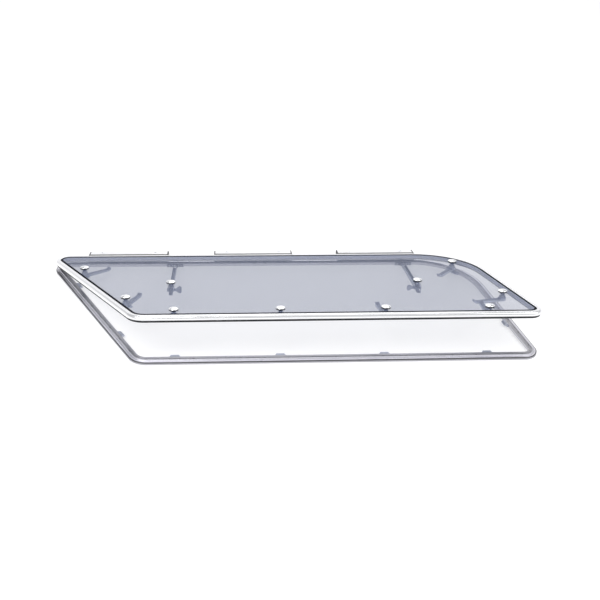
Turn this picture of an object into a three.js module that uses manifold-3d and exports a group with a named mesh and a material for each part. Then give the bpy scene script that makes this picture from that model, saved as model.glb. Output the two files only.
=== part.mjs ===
// Low-profile deck hatch: an aluminium frame that is screwed to the deck, and a framed
// acrylic lid that swings on three long hinges, is held open by two slotted friction stays
// and is dogged shut by eight turning handles. Millimetres, +X to the right, +Y to the
// hinges, +Z up. The origin is at the middle of the footprint, on the deck.
// The lid is modelled closed and then turned about the hinge line to its open rest pose.
import * as THREE from 'three';
import { mergeVertices } from 'three/addons/utils/BufferGeometryUtils.js';
import Module from 'manifold-3d';

const wasm = await Module();
wasm.setup();

// ---------------------------------------------------------------- driving dimensions
const FRAME_DEPTH = 560;          // frame, front to back
const HINGE_OVERHANG = 62;        // hinge leaves behind the frame
const FRONT_Y = -(FRAME_DEPTH + HINGE_OVERHANG) / 2;
const BACK_Y = FRONT_Y + FRAME_DEPTH;

// Rounded corners of the outline, counter-clockwise: centre and outside radius.
const BACK_LEFT = { x: -672, y: BACK_Y - 45, r: 45 };
const FRONT_LEFT = { x: -400, y: FRONT_Y + 60, r: 60 };
const FRONT_RIGHT = { x: 677, y: FRONT_Y + 40, r: 40 };
const BACK_RIGHT = { x: 428, y: BACK_Y - 220, r: 220 };
const CORNERS = [BACK_LEFT, FRONT_LEFT, FRONT_RIGHT, BACK_RIGHT];
const CORNER_STEPS = [8, 5, 7, 12];

const FRAME_WIDTH = 25;           // width of the deck frame, seen from above
const FRAME_HEIGHT = 11;
const FLANGE_HEIGHT = 8;          // outer flange that the lid seal lands on

const LID_Z = 13;                 // underside of the closed lid
const LID_THICKNESS = 15;
const LID_REST_DEG = 12.5;        // how far open the lid rests
const TRIM_WIDTH = 15.8;          // metal seen round the glazing
const LEDGE_WIDTH = 25.5;         // trim and glazing ledge together
const LEDGE_THICKNESS = 4;
const PANE_INSET = 22.3;          // outline to the edge of the acrylic
const PANE_BOTTOM = 5.5;          // above the underside of the lid
const FIT_GAP = 0.3;              // between pieces that touch

const HINGE_Y = BACK_Y + 10;
const HINGE_Z = 16;
const HINGE_CENTRES = { left: -493, centre: -88, right: 317 };
const HINGE_LENGTH = 248;
const KNUCKLE_RADIUS = 7.7;
const KNUCKLE_LENGTH = 60;        // each end knuckle of a base leaf
const HINGE_PIN_RADIUS = 3;

const LATCH_INSET = 50;           // outline to the spindle of every latch
const CAP_RADIUS = 13.5;
const SPINDLE_RADIUS = 4;
const PANE_HOLE_RADIUS = 6.1;
const HUB_RADIUS = 11;
const HUB_TOP = PANE_BOTTOM - FIT_GAP;
const HUB_BOTTOM = -11.8;
const LEVER_LENGTH = 96;
const TONGUE_REACH = 20;

const STAY_CENTRES = { left: -341, right: 403 };
const STAY_CAP_Y = BACK_Y - 280;  // clamp, on the middle line of the lid
const STAY_PIVOT = { y: BACK_Y - 32, z: 8 };
const STAY_REST_DEG = 14.03;      // slope of the arm at the rest pose
const STAY_PIN_RADIUS = 2;
const STUD_RADIUS = 2;
const STUD_Z = -7.2;              // below the underside of the lid
const ARM_HALF_WIDTH = 5.5;
const ARM_WALL = 1.5;
const ARM_LENGTH = 287;           // pivot to free end

const rad = THREE.MathUtils.degToRad;

// ---------------------------------------------------------------- materials
function metal(color, roughness) {
  return new THREE.MeshStandardMaterial({ color, roughness, metalness: 0.9 });
}

const anodised = metal(0xd9dade, 0.32);
const polished = metal(0xf0f2f2, 0.14);
const castAlloy = metal(0x9aa0ad, 0.45);
const stainless = metal(0xe2e4e8, 0.18);
const rubber = new THREE.MeshStandardMaterial({ color: 0x24262a, roughness: 0.8 });
const sealant = new THREE.MeshStandardMaterial({ color: 0x1d1f24, roughness: 0.6 });
const nylon = new THREE.MeshStandardMaterial({ color: 0x2a2b2f, roughness: 0.55 });
const acrylic = new THREE.MeshStandardMaterial({
  color: 0xb9bfcb, roughness: 0.05, transparent: true, opacity: 0.6,
});

// ---------------------------------------------------------------- solids and booleans
function toManifold(geometry) {
  const bare = geometry.clone();
  bare.deleteAttribute('normal');
  bare.deleteAttribute('uv');
  const merged = mergeVertices(bare, 1e-4);
  return new wasm.Manifold(new wasm.Mesh({
    numProp: 3,
    vertProperties: new Float32Array(merged.attributes.position.array),
    triVerts: new Uint32Array(merged.index.array),
  }));
}

function fromManifold(solid) {
  const mesh = solid.getMesh();
  const geometry = new THREE.BufferGeometry();
  geometry.setAttribute('position', new THREE.BufferAttribute(mesh.vertProperties, 3));
  geometry.setIndex(new THREE.BufferAttribute(mesh.triVerts, 1));
  return geometry;
}

function join(...geometries) {
  return fromManifold(geometries.map(toManifold).reduce((a, b) => a.add(b)));
}

function cut(geometry, ...tools) {
  return fromManifold(tools.map(toManifold).reduce((a, b) => a.subtract(b), toManifold(geometry)));
}

function box(x0, x1, y0, y1, z0, z1) {
  const geometry = new THREE.BoxGeometry(x1 - x0, y1 - y0, z1 - z0);
  return geometry.translate((x0 + x1) / 2, (y0 + y1) / 2, (z0 + z1) / 2);
}

// A solid turned about +Z from [radius, height] points, listed so that it faces out.
function turned(profile, segments = 14) {
  const points = profile.map(([r, z]) => new THREE.Vector2(r, z));
  return new THREE.LatheGeometry(points, segments).rotateX(Math.PI / 2);
}

// A round bar along +X.
function barX(radius, x0, x1, segments = 16) {
  const geometry = new THREE.CylinderGeometry(radius, radius, x1 - x0, segments);
  return geometry.rotateZ(Math.PI / 2).translate((x0 + x1) / 2, 0, 0);
}

function polygon(points) {
  return new THREE.Shape(points.map(([x, y]) => new THREE.Vector2(x, y)));
}

// Extrudes a shape drawn in the Y-Z plane along X, from x0 to x1.
function extrudeX(shape, x0, x1, curveSegments = 12) {
  const geometry = new THREE.ExtrudeGeometry(shape, {
    depth: x1 - x0, bevelEnabled: false, curveSegments,
  });
  const yzx = new THREE.Matrix4().makeBasis(
    new THREE.Vector3(0, 1, 0), new THREE.Vector3(0, 0, 1), new THREE.Vector3(1, 0, 0),
  );
  return geometry.applyMatrix4(yzx).translate(x0, 0, 0);
}

// Extrudes a shape drawn in plan, from height z0 to z1.
function extrudeZ(shape, z0, z1, curveSegments = 12) {
  const geometry = new THREE.ExtrudeGeometry(shape, {
    depth: z1 - z0, bevelEnabled: false, curveSegments,
  });
  return geometry.translate(0, 0, z0);
}

// ---------------------------------------------------------------- plan outline
// Outward direction of the straight side that runs from one corner to the next.
function sideAngle(from, to) {
  const dx = to.x - from.x;
  const dy = to.y - from.y;
  const lean = Math.asin((from.r - to.r) / Math.hypot(dx, dy));
  return Math.atan2(dy, dx) - Math.PI / 2 + lean;
}

// Points round the outline with the outward direction at each, counter-clockwise.
function outlineRays() {
  const rays = [];
  CORNERS.forEach((corner, i) => {
    const start = sideAngle(CORNERS[(i + 3) % 4], corner);
    let end = sideAngle(corner, CORNERS[(i + 1) % 4]);
    while (end < start) end += 2 * Math.PI;
    for (let k = 0; k <= CORNER_STEPS[i]; k += 1) {
      const angle = start + (end - start) * (k / CORNER_STEPS[i]);
      rays.push({ corner, cos: Math.cos(angle), sin: Math.sin(angle) });
    }
  });
  return rays;
}

const RAYS = outlineRays();

function outlinePoint(ray, inset) {
  const reach = ray.corner.r - inset;
  return [ray.corner.x + reach * ray.cos, ray.corner.y + reach * ray.sin];
}

// A closed ring that follows the outline. The section is a counter-clockwise polygon of
// [inset from the outline, height] points.
function ring(section) {
  const count = section.length;
  const positions = RAYS.flatMap((ray) => section.flatMap(([inset, z]) => [...outlinePoint(ray, inset), z]));
  const index = [];
  RAYS.forEach((ray, i) => {
    const here = i * count;
    const next = ((i + 1) % RAYS.length) * count;
    section.forEach((point, j) => {
      const k = (j + 1) % count;
      index.push(here + j, here + k, next + k);
      index.push(here + j, next + k, next + j);
    });
  });
  const geometry = new THREE.BufferGeometry();
  geometry.setAttribute('position', new THREE.Float32BufferAttribute(positions, 3));
  geometry.setIndex(index);
  return geometry;
}

// A point on a straight side at the given inset and Y, with its outward direction.
function pointOnSide(from, to, inset, y) {
  const outward = sideAngle(from, to);
  const nx = Math.cos(outward);
  const ny = Math.sin(outward);
  const startX = from.x + nx * (from.r - inset);
  const startY = from.y + ny * (from.r - inset);
  return { x: startX - ((y - startY) / nx) * ny, y, outward };
}

function pointOnCorner(corner, inset, outward) {
  const reach = corner.r - inset;
  return {
    x: corner.x + reach * Math.cos(outward),
    y: corner.y + reach * Math.sin(outward),
    outward,
  };
}

// ---------------------------------------------------------------- where the latches are
function frontLatch(x) {
  return { x, y: FRONT_Y + LATCH_INSET, outward: -Math.PI / 2 };
}

// lever: direction of the handle at rest, in plan, in degrees from +X.
const LATCHES = {
  left_rear: { ...pointOnSide(BACK_LEFT, FRONT_LEFT, LATCH_INSET, 111), lever: 42 },
  left_front: { ...pointOnSide(BACK_LEFT, FRONT_LEFT, LATCH_INSET, -158), lever: 69 },
  front_1: { ...frontLatch(-322), lever: 180 },
  front_2: { ...frontLatch(-25), lever: 180 },
  front_3: { ...frontLatch(272), lever: 97 },
  front_4: { ...frontLatch(569), lever: 91 },
  right_front: { ...pointOnSide(FRONT_RIGHT, BACK_RIGHT, LATCH_INSET, -138), lever: -166 },
  right_rear: { ...pointOnCorner(BACK_RIGHT, LATCH_INSET, rad(45)), lever: -128 },
};

// ---------------------------------------------------------------- frame and lid
// Flat flange outside, a screw channel along the middle and a flat strip inside.
function makeBaseFrame() {
  return ring([
    [0, 0], [FRAME_WIDTH, 0], [FRAME_WIDTH, FRAME_HEIGHT - 0.5], [FRAME_WIDTH - 0.5, FRAME_HEIGHT],
    [16.5, FRAME_HEIGHT], [16.5, 9], [12.5, 9], [12.5, FRAME_HEIGHT],
    [10.8, FRAME_HEIGHT], [10.2, FLANGE_HEIGHT], [1.6, FLANGE_HEIGHT], [0.5, 7.6], [0, 6.5],
  ]);
}

// Half-round outer edge, seal groove below and a ledge that carries the acrylic.
function makeLidTrim() {
  const radius = LID_THICKNESS / 2;
  const section = [
    [10, 0], [LEDGE_WIDTH, 0], [LEDGE_WIDTH, LEDGE_THICKNESS],
    [TRIM_WIDTH, LEDGE_THICKNESS], [TRIM_WIDTH, LID_THICKNESS],
  ];
  const steps = 9;
  for (let k = 0; k < steps; k += 1) {
    const angle = Math.PI / 2 + Math.PI * (k / steps);
    section.push([radius + radius * Math.cos(angle), radius + radius * Math.sin(angle)]);
  }
  section.push([6, 0.2], [6, 2.2], [10, 2.2]);
  return ring(section);
}

function makeLidSeal() {
  return ring([
    [4.4, -2.6], [5.4, -4.1], [7.6, -4.6], [9.2, -3.6], [9.7, -2], [10.4, -0.4],
    [9.7, -0.4], [9.7, 1.9], [6.3, 1.9], [6.3, -0.4], [4.4, -0.4],
  ]);
}

// L-shaped bedding between the ledge and the acrylic, and up its edge.
function makeGlazingSeal() {
  const outer = TRIM_WIDTH + FIT_GAP;
  const bottom = LEDGE_THICKNESS + FIT_GAP;
  const top = LID_THICKNESS - 0.1;
  return ring([
    [outer, bottom], [LEDGE_WIDTH - FIT_GAP, bottom],
    [LEDGE_WIDTH - FIT_GAP, PANE_BOTTOM - FIT_GAP], [PANE_INSET - FIT_GAP, PANE_BOTTOM - FIT_GAP],
    [PANE_INSET - FIT_GAP, top], [outer, top],
  ]);
}

function makePane() {
  const shape = polygon(RAYS.map((ray) => outlinePoint(ray, PANE_INSET)));
  const centres = Object.values(LATCHES).map(({ x, y }) => [x, y]);
  Object.values(STAY_CENTRES).forEach((x) => centres.push([x, STAY_CAP_Y]));
  centres.forEach(([x, y]) => {
    shape.holes.push(new THREE.Path().absarc(x, y, PANE_HOLE_RADIUS, 0, 2 * Math.PI, true));
  });
  return extrudeZ(shape, PANE_BOTTOM, LID_THICKNESS, 8);
}

// ---------------------------------------------------------------- hinges, about their axis
// Hollow extrusion behind the frame, with a foot under the barrel and a knuckle at each end.
function makeBaseLeaf() {
  const half = HINGE_LENGTH / 2;
  const floor = -HINGE_Z;
  const shape = polygon([
    [-9.7, floor], [52, floor], [52, floor + 7], [49, floor + 10.5],
    [14, floor + 19.5], [10, floor + 19.5], [10, floor + 4], [-9.7, floor + 4],
  ]);
  shape.holes.push(polygon([[13, floor + 3], [13, floor + 16], [28, floor + 12.6], [28, floor + 3]]));
  shape.holes.push(polygon([[31, floor + 3.2], [31, floor + 11.8], [46, floor + 8], [46, floor + 3.2]]));
  const neck = polygon([[0, -5], [11, -5], [11, 3.5], [0, KNUCKLE_RADIUS - 1]]);
  const bore = barX(HINGE_PIN_RADIUS + FIT_GAP, -half - 1, half + 1);
  const knuckles = [-half, half - KNUCKLE_LENGTH].flatMap((x) => [
    barX(KNUCKLE_RADIUS, x, x + KNUCKLE_LENGTH),
    extrudeX(neck, x, x + KNUCKLE_LENGTH),
  ]);
  return cut(join(extrudeX(shape, -half, half), ...knuckles), bore);
}

// Middle knuckle, with an arm that meets the back of the lid trim.
function makeLidLeaf() {
  const half = HINGE_LENGTH / 2 - KNUCKLE_LENGTH - FIT_GAP;
  const arm = polygon([[-9.7, 2], [0, 2], [0, 7.6], [-9.7, 7.2]]);
  const bore = barX(HINGE_PIN_RADIUS + FIT_GAP, -half - 1, half + 1);
  return cut(join(barX(KNUCKLE_RADIUS, -half, half), extrudeX(arm, -half, half)), bore);
}

function makeHingePin() {
  return barX(HINGE_PIN_RADIUS, -HINGE_LENGTH / 2 - 1.5, HINGE_LENGTH / 2 + 1.5, 12);
}

// ---------------------------------------------------------------- latches, about their spindle
// Domed cap above the acrylic, and the spindle below it. A cap without a bush under it
// reaches down to the acrylic.
function makeCap(spindleEnd, rim = 18.3) {
  return turned([
    [0, spindleEnd], [SPINDLE_RADIUS, spindleEnd], [SPINDLE_RADIUS, rim], [CAP_RADIUS, rim],
    [CAP_RADIUS, 19.5], [11.5, 21.1], [6.5, 22.4], [0, 22.8],
  ]);
}

function makeBush() {
  const bore = SPINDLE_RADIUS + FIT_GAP;
  return turned([
    [bore, 5.8], [5.8, 5.8], [5.8, 15.3], [13.4, 15.3], [13.4, 18], [bore, 18], [bore, 5.8],
  ]);
}

// Hub, lever along +X with its tip turned up, and the tongue that dogs under the keeper.
function makeHandle() {
  const bore = SPINDLE_RADIUS + FIT_GAP;
  const hub = turned([
    [0, HUB_BOTTOM], [HUB_RADIUS - 1.5, HUB_BOTTOM], [HUB_RADIUS, HUB_BOTTOM + 1.5],
    [HUB_RADIUS, HUB_TOP - 6], [8.5, HUB_TOP], [bore, HUB_TOP], [bore, -8.3], [0, -8.3],
  ]);
  const tip = LEVER_LENGTH;
  const side = polygon([
    [5, HUB_BOTTOM], [tip - 12, HUB_BOTTOM], [tip - 5, HUB_BOTTOM + 2], [tip, HUB_BOTTOM + 9],
    [tip - 4.5, HUB_BOTTOM + 11.5], [tip - 8.5, HUB_BOTTOM + 7.5], [tip - 14, HUB_BOTTOM + 6],
    [5, HUB_BOTTOM + 7],
  ]);
  const lever = extrudeX(side, -0.5, 0.5).applyMatrix4(new THREE.Matrix4().makeBasis(
    new THREE.Vector3(0, -1, 0), new THREE.Vector3(1, 0, 0), new THREE.Vector3(0, 0, 1),
  ));
  const place = lever.attributes.position;
  for (let i = 0; i < place.count; i += 1) {
    const width = THREE.MathUtils.lerp(16, 12, place.getX(i) / tip);
    place.setY(i, place.getY(i) * width);
  }
  const tongueShape = new THREE.Shape();
  tongueShape.moveTo(7, 0);
  tongueShape.lineTo(-7, 0);
  tongueShape.lineTo(-7, 7 - TONGUE_REACH);
  tongueShape.absarc(0, 7 - TONGUE_REACH, 7, Math.PI, 2 * Math.PI, false);
  const tongue = extrudeZ(tongueShape, HUB_BOTTOM, HUB_BOTTOM + 2.8, 6);
  const solidCore = turned([[0, HUB_BOTTOM], [8, HUB_BOTTOM], [8, -8.3], [0, -8.3]]);
  return join(hub, lever, tongue, solidCore);
}

// Hook on the inner wall of the frame: -Y is outward, the origin is below the spindle.
function makeKeeper(extraGap) {
  const wall = -(LATCH_INSET - FRAME_WIDTH - FIT_GAP - extraGap);
  const shape = polygon([
    [wall, 1], [wall + 2.5, 1], [wall + 2.5, 4.8], [wall + 10.7, 4.8],
    [wall + 10.7, 8], [wall + 7.7, FRAME_HEIGHT], [wall, FRAME_HEIGHT],
  ]);
  const geometry = extrudeX(shape, -0.5, 0.5);
  const place = geometry.attributes.position;
  for (let i = 0; i < place.count; i += 1) {
    const width = THREE.MathUtils.lerp(30, 20, (place.getY(i) - wall) / 10.7);
    place.setX(i, place.getX(i) * width);
  }
  return geometry;
}

// ---------------------------------------------------------------- stays
// Wall plate with two lugs; drawn about the arm's pivot, with -Y to the front.
function makeStayBracket() {
  const wall = BACK_Y - FRAME_WIDTH - FIT_GAP - STAY_PIVOT.y;
  const foot = 1 - STAY_PIVOT.z;
  const top = FRAME_HEIGHT - STAY_PIVOT.z;
  const plate = box(-26, 26, wall - 2.5, wall, foot, top);
  const lug = new THREE.Shape();
  lug.moveTo(wall - 1, foot);
  lug.lineTo(wall - 1, top);
  lug.lineTo(3, 5);
  lug.absarc(0, 0, 6, Math.PI / 2, 3 * Math.PI / 2, false);
  const gap = ARM_HALF_WIDTH + 0.5;
  const lugs = [-gap - 2.5, gap].map((x) => extrudeX(lug, x, x + 2.5, 6));
  return cut(join(plate, ...lugs), barX(STAY_PIN_RADIUS + FIT_GAP, -12, 12, 12));
}

function makePivotPin() {
  const gap = ARM_HALF_WIDTH + 3;
  const shank = barX(STAY_PIN_RADIUS, -gap - 1.5, gap + 0.6, 12);
  return join(shank, barX(3.7, gap + 0.4, gap + 2, 12));
}

// Channel open towards the pane, with a pivot hole and a long slot for the clamp stud.
// +Y runs to the free end and +Z is across the arm, towards the pane.
function makeStayArm() {
  const low = -7.2;
  const high = 6.4;
  const eye = 3.9;
  const shape = new THREE.Shape();
  shape.moveTo(9, high);
  shape.absarc(0, 0, eye, Math.PI / 2, 3 * Math.PI / 2, false);
  shape.lineTo(9, low);
  shape.lineTo(ARM_LENGTH - 6, low);
  shape.lineTo(ARM_LENGTH, low + 5);
  shape.lineTo(ARM_LENGTH, high - 5);
  shape.lineTo(ARM_LENGTH - 6, high);
  shape.holes.push(new THREE.Path().absarc(0, 0, STAY_PIN_RADIUS + FIT_GAP, 0, 2 * Math.PI, true));
  const slotLow = -5.2;
  const slotHigh = 4.4;
  const slotRadius = (slotHigh - slotLow) / 2;
  const slotMiddle = (slotHigh + slotLow) / 2;
  const slot = new THREE.Path();
  slot.absarc(247, slotMiddle, slotRadius, 3 * Math.PI / 2, Math.PI / 2, true);
  slot.absarc(278, slotMiddle, slotRadius, Math.PI / 2, -Math.PI / 2, true);
  shape.holes.push(slot);
  const bar = extrudeX(shape, -ARM_HALF_WIDTH, ARM_HALF_WIDTH, 6);
  const inside = ARM_HALF_WIDTH - ARM_WALL;
  return cut(bar, box(-inside, inside, -20, ARM_LENGTH + 10, low + ARM_WALL, high + 5));
}

// Saddle under the pane: threaded stem, roof and two cheeks for the clamp stud.
function makeYoke() {
  const inside = ARM_HALF_WIDTH + 0.6;
  const outside = inside + 3;
  const roof = box(-outside, outside, -9, 9, 3.6, HUB_TOP);
  const stem = turned([[0, 3.6], [5.8, 3.6], [5.8, 14.5], [0, 14.5]]);
  const cheek = new THREE.Shape();
  cheek.moveTo(9, 4);
  cheek.lineTo(-9, 4);
  cheek.lineTo(-5.5, STUD_Z);
  cheek.absarc(0, STUD_Z, 5.5, Math.PI, 2 * Math.PI, false);
  const cheeks = [-outside, inside].map((x) => extrudeX(cheek, x, x + 3, 6));
  const boss = barX(5.5, -outside - 3, -outside + 1, 14).translate(0, 0, STUD_Z);
  const studHole = barX(STUD_RADIUS + 0.4, -20, 20, 12).translate(0, 0, STUD_Z);
  const stemBore = turned([
    [0, 6], [SPINDLE_RADIUS + FIT_GAP, 6], [SPINDLE_RADIUS + FIT_GAP, 20], [0, 20],
  ]);
  return cut(join(roof, stem, ...cheeks, boss), studHole, stemBore);
}

// Clamp screw: stud across the yoke, a collar, and a flat wing to turn it by.
function makeKnob() {
  const stud = barX(STUD_RADIUS, -11.5, 14, 12);
  const collar = barX(4.5, 9.6, 18, 12);
  const outline = polygon([
    [15, -4], [20, -8], [23, -10.4], [28, -10.4], [31, -7], [31, 7], [28, 10.4], [23, 10.4],
    [20, 8], [15, 4],
  ]);
  const wing = extrudeZ(outline, -1.8, 1.8).rotateX(rad(65));
  return join(stud, collar, wing);
}

// ---------------------------------------------------------------- assembly
const hatch = new THREE.Group();
const lid = new THREE.Group();
lid.position.set(0, HINGE_Y, HINGE_Z);
lid.rotation.x = -rad(LID_REST_DEG);
const lidParts = new THREE.Group();
lidParts.position.set(0, -HINGE_Y, LID_Z - HINGE_Z);
lid.add(lidParts);
hatch.add(lid);

function add(group, name, geometry, material, position = [0, 0, 0], turn = 0) {
  const mesh = new THREE.Mesh(geometry, material);
  mesh.name = name;
  mesh.position.set(...position);
  mesh.rotation.z = turn;
  group.add(mesh);
  return mesh;
}

add(hatch, 'base_frame', makeBaseFrame(), anodised);
add(lidParts, 'lid_trim', makeLidTrim(), polished);
add(lidParts, 'lid_seal', makeLidSeal(), rubber);
add(lidParts, 'glazing_seal', makeGlazingSeal(), sealant);
add(lidParts, 'lid_pane', makePane(), acrylic);

const baseLeaf = makeBaseLeaf();
const lidLeaf = makeLidLeaf();
const hingePin = makeHingePin();
Object.entries(HINGE_CENTRES).forEach(([side, x]) => {
  add(hatch, `hinge_${side}_base_leaf`, baseLeaf, anodised, [x, HINGE_Y, HINGE_Z]);
  add(hatch, `hinge_${side}_pin`, hingePin, stainless, [x, HINGE_Y, HINGE_Z]);
  add(lidParts, `hinge_${side}_lid_leaf`, lidLeaf, anodised, [x, HINGE_Y, HINGE_Z - LID_Z]);
});

const latchCap = makeCap(-8);
const bush = makeBush();
const handle = makeHandle();
Object.entries(LATCHES).forEach(([place, { x, y, outward, lever }]) => {
  const extraGap = place === 'right_rear' ? 0.7 : 0;
  add(lidParts, `cap_${place}`, latchCap, polished, [x, y, 0]);
  add(lidParts, `bush_${place}`, bush, nylon, [x, y, 0]);
  add(lidParts, `handle_${place}`, handle, castAlloy, [x, y, 0], rad(lever));
  add(hatch, `keeper_${place}`, makeKeeper(extraGap), castAlloy, [x, y, 0], outward + Math.PI / 2);
});

const stayBracket = makeStayBracket();
const pivotPin = makePivotPin();
const stayArm = makeStayArm();
const yoke = makeYoke();
const stayCap = makeCap(6.4, 15.3);
const knob = makeKnob();
Object.entries(STAY_CENTRES).forEach(([side, x]) => {
  const facing = side === 'left' ? 0 : Math.PI;
  const pivot = [x, STAY_PIVOT.y, STAY_PIVOT.z];
  add(hatch, `stay_${side}_bracket`, stayBracket, castAlloy, pivot);
  add(hatch, `stay_${side}_pivot_pin`, pivotPin, stainless, pivot);
  const arm = add(hatch, `stay_${side}_arm`, stayArm, castAlloy, pivot);
  arm.rotation.set(-rad(STAY_REST_DEG), 0, Math.PI);
  add(lidParts, `stay_${side}_yoke`, yoke, castAlloy, [x, STAY_CAP_Y, 0], facing);
  add(lidParts, `stay_${side}_cap`, stayCap, polished, [x, STAY_CAP_Y, 0]);
  add(lidParts, `stay_${side}_knob`, knob, castAlloy, [x, STAY_CAP_Y, STUD_Z], facing);
});

export default hatch;
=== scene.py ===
"""The looks of the deck hatch: finely rounded extrusions, fittings, screws and materials
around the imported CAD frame, on a pale studio floor. Sizes are in millimetres and are
turned into metres when a mesh is made. Lid pieces are drawn with the lid closed, with
heights above its underside, and are placed with the matrix LID."""

import math

import bmesh
import bpy
from mathutils import Matrix, Vector


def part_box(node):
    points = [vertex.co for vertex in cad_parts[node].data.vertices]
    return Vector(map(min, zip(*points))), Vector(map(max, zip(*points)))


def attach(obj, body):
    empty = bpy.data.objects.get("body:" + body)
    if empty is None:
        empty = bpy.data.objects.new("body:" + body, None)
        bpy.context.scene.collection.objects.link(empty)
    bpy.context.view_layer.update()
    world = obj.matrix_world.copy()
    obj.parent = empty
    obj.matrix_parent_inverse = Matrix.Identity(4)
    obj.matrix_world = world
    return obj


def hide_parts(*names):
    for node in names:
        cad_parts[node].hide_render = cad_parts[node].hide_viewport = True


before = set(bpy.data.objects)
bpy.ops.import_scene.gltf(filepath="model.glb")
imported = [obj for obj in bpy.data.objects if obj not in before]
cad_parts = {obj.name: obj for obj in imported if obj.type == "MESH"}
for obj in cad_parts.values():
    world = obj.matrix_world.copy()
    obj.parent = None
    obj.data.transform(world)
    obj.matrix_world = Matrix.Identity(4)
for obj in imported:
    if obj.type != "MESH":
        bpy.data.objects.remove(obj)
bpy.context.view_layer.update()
MM = 0.001

# ------------------------------------------------------------------ driving dimensions
FRONT_Y, BACK_Y = -311.0, 249.0
CORNERS = [  # centre x, centre y, radius; counter-clockwise from the back left
    (-672.0, BACK_Y - 45, 45.0),
    (-400.0, FRONT_Y + 60, 60.0),
    (677.0, FRONT_Y + 40, 40.0),
    (428.0, BACK_Y - 220, 220.0),
]
FRAME_WIDTH, FRAME_HEIGHT = 25.0, 11.0
SCREW_INSET, SCREW_PITCH = 14.5, 67.0

LID_Z, LID_THICKNESS, LID_REST_DEG = 13.0, 15.0, 12.5
PANE_INSET, PANE_BOTTOM = 22.3, 5.5

HINGE_Y, HINGE_Z = BACK_Y + 10, 16.0
HINGE_CENTRES = {"left": -493.0, "centre": -88.0, "right": 317.0}
HINGE_LENGTH, KNUCKLE_LENGTH, KNUCKLE_RADIUS, PIN_RADIUS = 248.0, 60.0, 7.7, 3.0

LATCH_INSET = 50.0
CAP_RADIUS, SPINDLE_RADIUS = 13.5, 4.0
HUB_BOTTOM, HUB_TOP, TONGUE_REACH = -11.8, 5.2, 20.0
LEVER_LENGTH, LEVER_ROOT_WIDTH, LEVER_TIP_WIDTH = 96.0, 16.0, 12.0

STAY_CENTRES = {"left": -341.0, "right": 403.0}
STAY_CAP_Y, STUD_Z = BACK_Y - 280, -7.2
FLOOR_DROP = 0.4  # keeps the floor clear of the underside of the frame

LID = (
    Matrix.Translation((0, HINGE_Y * MM, HINGE_Z * MM))
    @ Matrix.Rotation(math.radians(-LID_REST_DEG), 4, "X")
    @ Matrix.Translation((0, -HINGE_Y * MM, (LID_Z - HINGE_Z) * MM))
)


def at(x, y, z=0.0, turn=0.0):
    """A place in millimetres, turned about the vertical by an angle in radians."""
    return Matrix.Translation((x * MM, y * MM, z * MM)) @ Matrix.Rotation(turn, 4, "Z")


# ------------------------------------------------------------------ outlines and sections
def side_angle(a, b):
    """Outward direction of the straight side from corner a to corner b."""
    dx, dy = b[0] - a[0], b[1] - a[1]
    return math.atan2(dy, dx) - math.pi / 2 + math.asin((a[2] - b[2]) / math.hypot(dx, dy))


def rays(steps_per_degree=0.3):
    """(corner, outward angle) round the outline, counter-clockwise."""
    found = []
    for i, corner in enumerate(CORNERS):
        start = side_angle(CORNERS[i - 1], corner)
        end = side_angle(corner, CORNERS[(i + 1) % 4])
        while end < start:
            end += 2 * math.pi
        steps = max(10, round(math.degrees(end - start) * steps_per_degree))
        found += [(corner, start + (end - start) * k / steps) for k in range(steps + 1)]
    return found


def outline(inset, found=None):
    """Points of the outline moved inwards by inset."""
    return [
        Vector((c[0] + (c[2] - inset) * math.cos(a), c[1] + (c[2] - inset) * math.sin(a)))
        for c, a in (found or rays())
    ]


def on_side(a, b, inset, y):
    """x and y of a point on the straight side from a to b."""
    angle = side_angle(a, b)
    nx, ny = math.cos(angle), math.sin(angle)
    x0, y0 = a[0] + nx * (a[2] - inset), a[1] + ny * (a[2] - inset)
    return x0 - (y - y0) / nx * ny, y


def on_corner(c, inset, angle):
    """x and y of a point on a rounded corner, in an outward direction."""
    return c[0] + (c[2] - inset) * math.cos(angle), c[1] + (c[2] - inset) * math.sin(angle)


def along_outline(inset, pitch):
    """Evenly spaced (x, y) round the outline, at about the pitch asked for."""
    points = outline(inset, rays(1.0))
    lengths = [(points[(i + 1) % len(points)] - p).length for i, p in enumerate(points)]
    count = round(sum(lengths) / pitch)
    step, spots, travelled, target = sum(lengths) / count, [], 0.0, pitch / 2
    for i, length in enumerate(lengths):
        while target <= travelled + length and len(spots) < count:
            along = (target - travelled) / length
            spots.append(points[i].lerp(points[(i + 1) % len(points)], along))
            target += step
        travelled += length
    return spots


def rounded(points, steps=4):
    """A closed outline with its corners rounded; a point is (x, y) or (x, y, radius)."""
    out = []
    for i, p in enumerate(points):
        here = Vector(p[:2])
        if len(p) < 3:
            out.append(here)
            continue
        a = (Vector(points[i - 1][:2]) - here).normalized()
        b = (Vector(points[(i + 1) % len(points)][:2]) - here).normalized()
        half = a.angle(b) / 2
        centre = here + (a + b).normalized() * (p[2] / math.sin(half))
        start = here + a * (p[2] / math.tan(half)) - centre
        sweep = start.angle_signed(here + b * (p[2] / math.tan(half)) - centre)
        for k in range(steps + 1):
            turned = Matrix.Rotation(-sweep * k / steps, 2) @ start
            out.append(centre + turned)
    return out


def arc(x, y, radius, start, end, steps=12):
    """Points on an arc, with angles in degrees."""
    angles = [math.radians(start + (end - start) * k / steps) for k in range(steps + 1)]
    return [Vector((x + radius * math.cos(a), y + radius * math.sin(a))) for a in angles]


# ------------------------------------------------------------------ meshes
def finish_mesh(name, bm, sharp=35.0):
    """Turns a bmesh in millimetres into a smooth-shaded mesh in metres."""
    bmesh.ops.recalc_face_normals(bm, faces=bm.faces)
    bm.transform(Matrix.Scale(MM, 4))
    mesh = bpy.data.meshes.new(name)
    bm.to_mesh(mesh)
    bm.free()
    mesh.shade_smooth()
    mesh.set_sharp_from_angle(angle=math.radians(sharp))
    return mesh


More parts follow.
